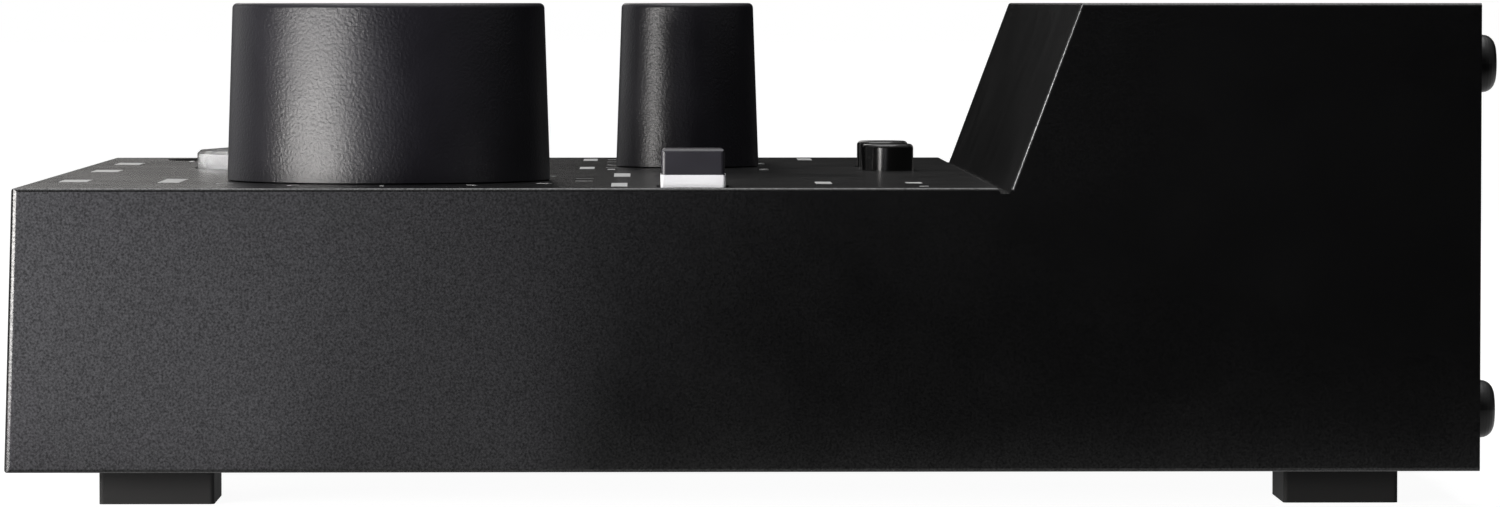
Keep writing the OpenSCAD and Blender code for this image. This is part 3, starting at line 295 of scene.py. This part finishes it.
def fader_shade_strip():
    """Thin near-black strip on the deck round the fader's slot, with the slot left open: painted shade
    that stands in for a dark recessed channel.
    """
    shade_width = 9.5 * MM
    slot_width = 2.2 * MM
    travel = 30 * MM
    slot_end = 2.8 * MM
    shade_end = 0.8 * MM
    shade_thickness = 0.08 * MM
    centre = middle("fader_cap")
    slot_length = travel + 2 * slot_end
    shade_length = slot_length + 2 * shade_end
    mesh = bmesh.new()
    rings = []
    for width, length in ((slot_width, slot_length), (shade_width, shade_length)):
        outline = round_ended(centre, width, length)
        for z in (deck_z, deck_z + shade_thickness):
            rings.append([mesh.verts.new((x, y, z)) for x, y in outline])
    inner_foot, inner_top, outer_foot, outer_top = rings
    walls = (
        (inner_foot, inner_top), (inner_top, outer_top),
        (outer_top, outer_foot), (outer_foot, inner_foot),
    )
    for near, far in walls:
        for i in range(len(near)):
            j = (i + 1) % len(near)
            mesh.faces.new((near[i], near[j], far[j], far[i]))
    bmesh.ops.recalc_face_normals(mesh, faces=mesh.faces)
    # The strip is painted shade, laid where a recessed channel would be dark
    mesh_piece("fader_shade_strip", mesh, shade_strip_black, "chassis")


INK_THICKNESS = 0.03 * MM


def add_plate(mesh, centre, size, turn=0.0):
    """A thin ink plate on the deck, turned about the vertical."""
    made = bmesh.ops.create_cube(mesh, size=1.0)["verts"]
    cosine, sine = math.cos(turn), math.sin(turn)
    for vert in made:
        x, y = vert.co.x * size[0], vert.co.y * size[1]
        vert.co.z = deck_z + (vert.co.z + 0.5) * INK_THICKNESS
        vert.co.x = centre[0] + x * cosine - y * sine
        vert.co.y = centre[1] + x * sine + y * cosine


def scale_ring(mesh, knob, radius, reach, marks, size):
    """Marks round a knob, from one side of its turn to the other."""
    centre = middle(knob)
    for i in range(marks):
        turn = math.radians(reach * (2 * i / (marks - 1) - 1))
        place = (centre.x + radius * math.sin(turn), centre.y + radius * math.cos(turn))
        add_plate(mesh, place, size, -turn)


# Blank label boxes and marks in mm: middle across, middle from the front edge, width and height
LABELS = (
    (39.5, 16.6, 14.0, 2.4),
    (-54.4, 63.5, 10.0, 1.8),
    (-15.0, 63.4, 9.0, 1.8),
    (16.5, 67.8, 14.0, 1.9),
    (55.5, 67.6, 13.0, 1.8),
    (-56.9, 91.2, 9.0, 1.8),
    (48.6, 90.6, 8.0, 1.8),
    (48.6, 100.8, 4.0, 1.8),
    (-8.6, 66.4, 3.0, 0.9),
    (61.6, 101.4, 1.0, 1.0),
)


def deck_print():
    """Scale marks, label boxes and fader ticks in pale ink, with no lettering."""
    jack_row = 5.5 * MM
    jack_label = (8.5 * MM, 3.2 * MM)
    ticks = 7
    tick_pitch = 5 * MM
    tick_side = 8 * MM
    tick_width = 0.5 * MM
    long_tick, short_tick = 4 * MM, 2.6 * MM
    mesh = bmesh.new()
    scale_ring(mesh, "volume_knob", radius=23 * MM, reach=141, marks=12, size=(0.45 * MM, 2 * MM))
    for knob in ("gain_knob_left", "gain_knob_right"):
        scale_ring(mesh, knob, radius=10.8 * MM, reach=150, marks=2, size=(0.4 * MM, 1.5 * MM))
    for jack in ("phones_jack_right", "phones_jack_left", "headset_jack"):
        add_plate(mesh, (middle(jack).x, front_y + jack_row), jack_label)
    for x, from_front, width, height in LABELS:
        add_plate(mesh, (x * MM, front_y + from_front * MM), (width * MM, height * MM))
    slot_middle = middle("fader_cap")
    for i in range(ticks):
        y = slot_middle.y + (i - ticks // 2) * tick_pitch
        length = long_tick if i % 3 == 0 else short_tick
        add_plate(mesh, (slot_middle.x + tick_side, y), (length, tick_width))
    mesh_piece("deck_print", mesh, print_ink, "chassis")


# Painted shade round the fader's slot, then the print
fader_shade_strip()
deck_print()


# Studio

def joined(tree, operation, first, second):
    """Two values joined by a product or by taking the larger one."""
    node = tree.nodes.new("ShaderNodeMath")
    node.operation = operation
    tree.links.new(first, node.inputs[0])
    tree.links.new(second, node.inputs[1])
    return node.outputs[0]


def background_share(tree, mirrored):
    """How much white background a ray shows: all to the camera and through plastic, part in gloss."""
    path = tree.nodes.new("ShaderNodeLightPath")
    camera_ray, through = path.outputs["Is Camera Ray"], path.outputs["Is Transmission Ray"]
    direct = joined(tree, "MAXIMUM", camera_ray, through)
    gloss = joined(tree, "MULTIPLY", path.outputs["Is Glossy Ray"], mirrored)
    return joined(tree, "MAXIMUM", direct, gloss)


# Largest share of the white background that gloss shows
GLOSS_SHARE = 0.6


def floor_material():
    """White paper, which gloss shows near the object except on the camera's side."""
    # Tone of the paper, which darkens toward the camera, in metres along X
    pale, dark = 0.3, 0.03
    side_start, side_stop = 0.06, 0.14
    # White of the background, which is full away from the object
    near_white, full_white = 0.95, 1.0
    white_start, white_stop = 0.15, 0.5
    # Distance from the object over which gloss loses sight of the floor
    gloss_start, gloss_stop = 0.2, 0.4
    material = bpy.data.materials.new("floor_paper")
    material.use_nodes = True
    tree = material.node_tree
    tree.nodes.remove(tree.nodes["Principled BSDF"])
    place = tree.nodes.new("ShaderNodeTexCoord")
    across = tree.nodes.new("ShaderNodeSeparateXYZ")
    tree.links.new(place.outputs["Object"], across.inputs[0])
    away = tree.nodes.new("ShaderNodeVectorMath")
    away.operation = "LENGTH"
    tree.links.new(place.outputs["Object"], away.inputs[0])
    x, distance = across.outputs["X"], away.outputs["Value"]
    paper = tree.nodes.new("ShaderNodeBsdfDiffuse")
    tree.links.new(spread(tree, x, pale, dark, side_start, side_stop), paper.inputs["Color"])
    glow = tree.nodes.new("ShaderNodeEmission")
    white = spread(tree, distance, near_white, full_white, white_start, white_stop)
    tree.links.new(white, glow.inputs["Strength"])
    far_side = spread(tree, x, 1.0, 0.0, side_start, side_stop)
    near = spread(tree, distance, GLOSS_SHARE, 0.0, gloss_start, gloss_stop)
    mirrored = joined(tree, "MULTIPLY", far_side, near)
    added = tree.nodes.new("ShaderNodeAddShader")
    tree.links.new(paper.outputs[0], added.inputs[0])
    tree.links.new(glow.outputs[0], added.inputs[1])
    mixed = tree.nodes.new("ShaderNodeMixShader")
    tree.links.new(background_share(tree, mirrored), mixed.inputs["Fac"])
    tree.links.new(paper.outputs[0], mixed.inputs[1])
    tree.links.new(added.outputs[0], mixed.inputs[2])
    tree.links.new(mixed.outputs[0], tree.nodes["Material Output"].inputs["Surface"])
    return material


def studio_floor():
    """A wide floor at the object's feet."""
    reach = 8.0
    corners = [
        (sx * reach, sy * reach, cad_low.z) for sx, sy in ((-1, -1), (1, -1), (1, 1), (-1, 1))
    ]
    data = bpy.data.meshes.new("floor")
    data.from_pydata(corners, [], [tuple(range(len(corners)))])
    data.materials.append(floor_material())
    plane = bpy.data.objects.new("floor", data)
    bpy.context.scene.collection.objects.link(plane)


def studio_world():
    """Dim room, lighter on the camera's left, with a white background that gloss shows overhead."""
    light_side = (0.3, -0.95, 0)
    dim, light = 0.006, 0.16
    side_start, side_stop = 0.1, 1.0
    overhead_start, overhead_stop = 0.4, 0.75
    world = bpy.data.worlds.new("studio")
    bpy.context.scene.world = world
    world.use_nodes = True
    tree = world.node_tree
    place = tree.nodes.new("ShaderNodeTexCoord")
    toward = tree.nodes.new("ShaderNodeVectorMath")
    toward.operation = "DOT_PRODUCT"
    toward.inputs[1].default_value = light_side
    tree.links.new(place.outputs["Generated"], toward.inputs[0])
    above = tree.nodes.new("ShaderNodeSeparateXYZ")
    tree.links.new(place.outputs["Generated"], above.inputs[0])
    room = tree.nodes["Background"]
    room.inputs["Color"].default_value = (1, 1, 1, 1)
    level = spread(tree, toward.outputs["Value"], dim, light, side_start, side_stop)
    tree.links.new(level, room.inputs["Strength"])
    white = tree.nodes.new("ShaderNodeBackground")
    white.inputs["Color"].default_value = (1, 1, 1, 1)
    overhead = spread(tree, above.outputs["Z"], 0.0, GLOSS_SHARE, overhead_start, overhead_stop)
    mixed = tree.nodes.new("ShaderNodeMixShader")
    tree.links.new(background_share(tree, overhead), mixed.inputs["Fac"])
    tree.links.new(room.outputs[0], mixed.inputs[1])
    tree.links.new(white.outputs[0], mixed.inputs[2])
    tree.links.new(mixed.outputs[0], tree.nodes["World Output"].inputs["Surface"])


studio_floor()
studio_world()

NEUTRAL = (1, 1, 1)
WARM = (1.0, 0.975, 0.95)
CARD_TINT = (0.98, 0.97, 1.04)
# Beam angles in degrees: a softbox, a plain card and a narrow lamp
SOFT, OPEN, NARROW = 160, 180, 28


def softbox(name, place, aim, size, radiance, beam=SOFT, tint=NEUTRAL):
    """Rectangular lamp whose face has a given radiance, hidden from the camera."""
    data = bpy.data.lights.new(name, "AREA")
    data.shape = "RECTANGLE"
    data.color = tint
    data.size, data.size_y = size
    data.energy = radiance * math.pi * size[0] * size[1]
    data.spread = math.radians(beam)
    lamp = bpy.data.objects.new(name, data)
    bpy.context.scene.collection.objects.link(lamp)
    lamp.location = place
    lamp.rotation_mode = "QUATERNION"
    lamp.rotation_quaternion = (Vector(aim) - Vector(place)).to_track_quat("-Z", "Y")
    lamp.visible_camera = False


# Light band on the knobs
softbox(
    "front_softbox", place=(0.235, -0.298, 0.040), aim=(0.022, -0.085, 0.040), size=(0.28, 0.072),
    radiance=20.0, tint=WARM)
# Even light from above
softbox(
    "top_softbox", place=(0.0, -0.03, 0.42), aim=(0.0, -0.03, 0.05), size=(0.4, 0.4), radiance=2.3)
# Sheen on the deck
softbox(
    "rim_softbox", place=(-0.8, -0.187, 0.45), aim=(0.0, -0.04, 0.04), size=(0.27, 0.45),
    radiance=1.32, tint=WARM)
# Left flanks of the knobs, as the camera sees them
softbox(
    "left_softbox", place=(-0.43, -0.50, 0.16), aim=(0.0, -0.04, 0.05), size=(0.5, 0.3), radiance=0.38)
# Line along the near edge of the slope
softbox(
    "edge_lamp", place=(0.1275, -0.1015, 0.093), aim=(0.0675, 0.038, 0.044), size=(0.05, 0.025),
    radiance=1.15, beam=NARROW)

# Cards over the table that overlap in steps, so that the near side darkens toward the rear
CARD_EDGES = (-0.09, -0.055, -0.022)
CARD_X, CARD_Z = 0.33, 0.031
CARD_SIZE = (0.25, 0.5)
CARD_TILT = Vector((-0.14, 0, 1))
for edge in CARD_EDGES:
    card = Vector((CARD_X, edge - CARD_SIZE[0] / 2, CARD_Z))
    softbox("table_card", card, card + CARD_TILT, CARD_SIZE, radiance=0.78, beam=OPEN, tint=CARD_TINT)

# Weak fill from the rear
softbox(
    "fill_softbox", place=(0.25, 0.49, 0.2), aim=(0.03, -0.03, 0.05), size=(0.8, 0.3), radiance=0.16)


# Camera at the photo's place

NEAR_SIDE = cad_high.x
CAMERA_REACH = 0.682
CAMERA_Y, CAMERA_Z = -0.0123, 0.05585
AIM_Y, AIM_Z = -0.0004, 0.0283
camera_data = bpy.data.cameras.new("camera")
camera_data.sensor_fit = "HORIZONTAL"
camera_data.sensor_width = 36.0
camera_data.lens = 149.1
camera_data.clip_start = 0.01
camera_data.clip_end = 50
camera = bpy.data.objects.new("camera", camera_data)
bpy.context.scene.collection.objects.link(camera)
camera.location = (NEAR_SIDE + CAMERA_REACH, CAMERA_Y, CAMERA_Z)
camera_aim = Vector((NEAR_SIDE, AIM_Y, AIM_Z))
camera.rotation_mode = "QUATERNION"
camera.rotation_quaternion = (camera_aim - camera.location).to_track_quat("-Z", "Y")
bpy.context.scene.camera = camera

bpy.context.scene.view_settings.view_transform = "Standard"
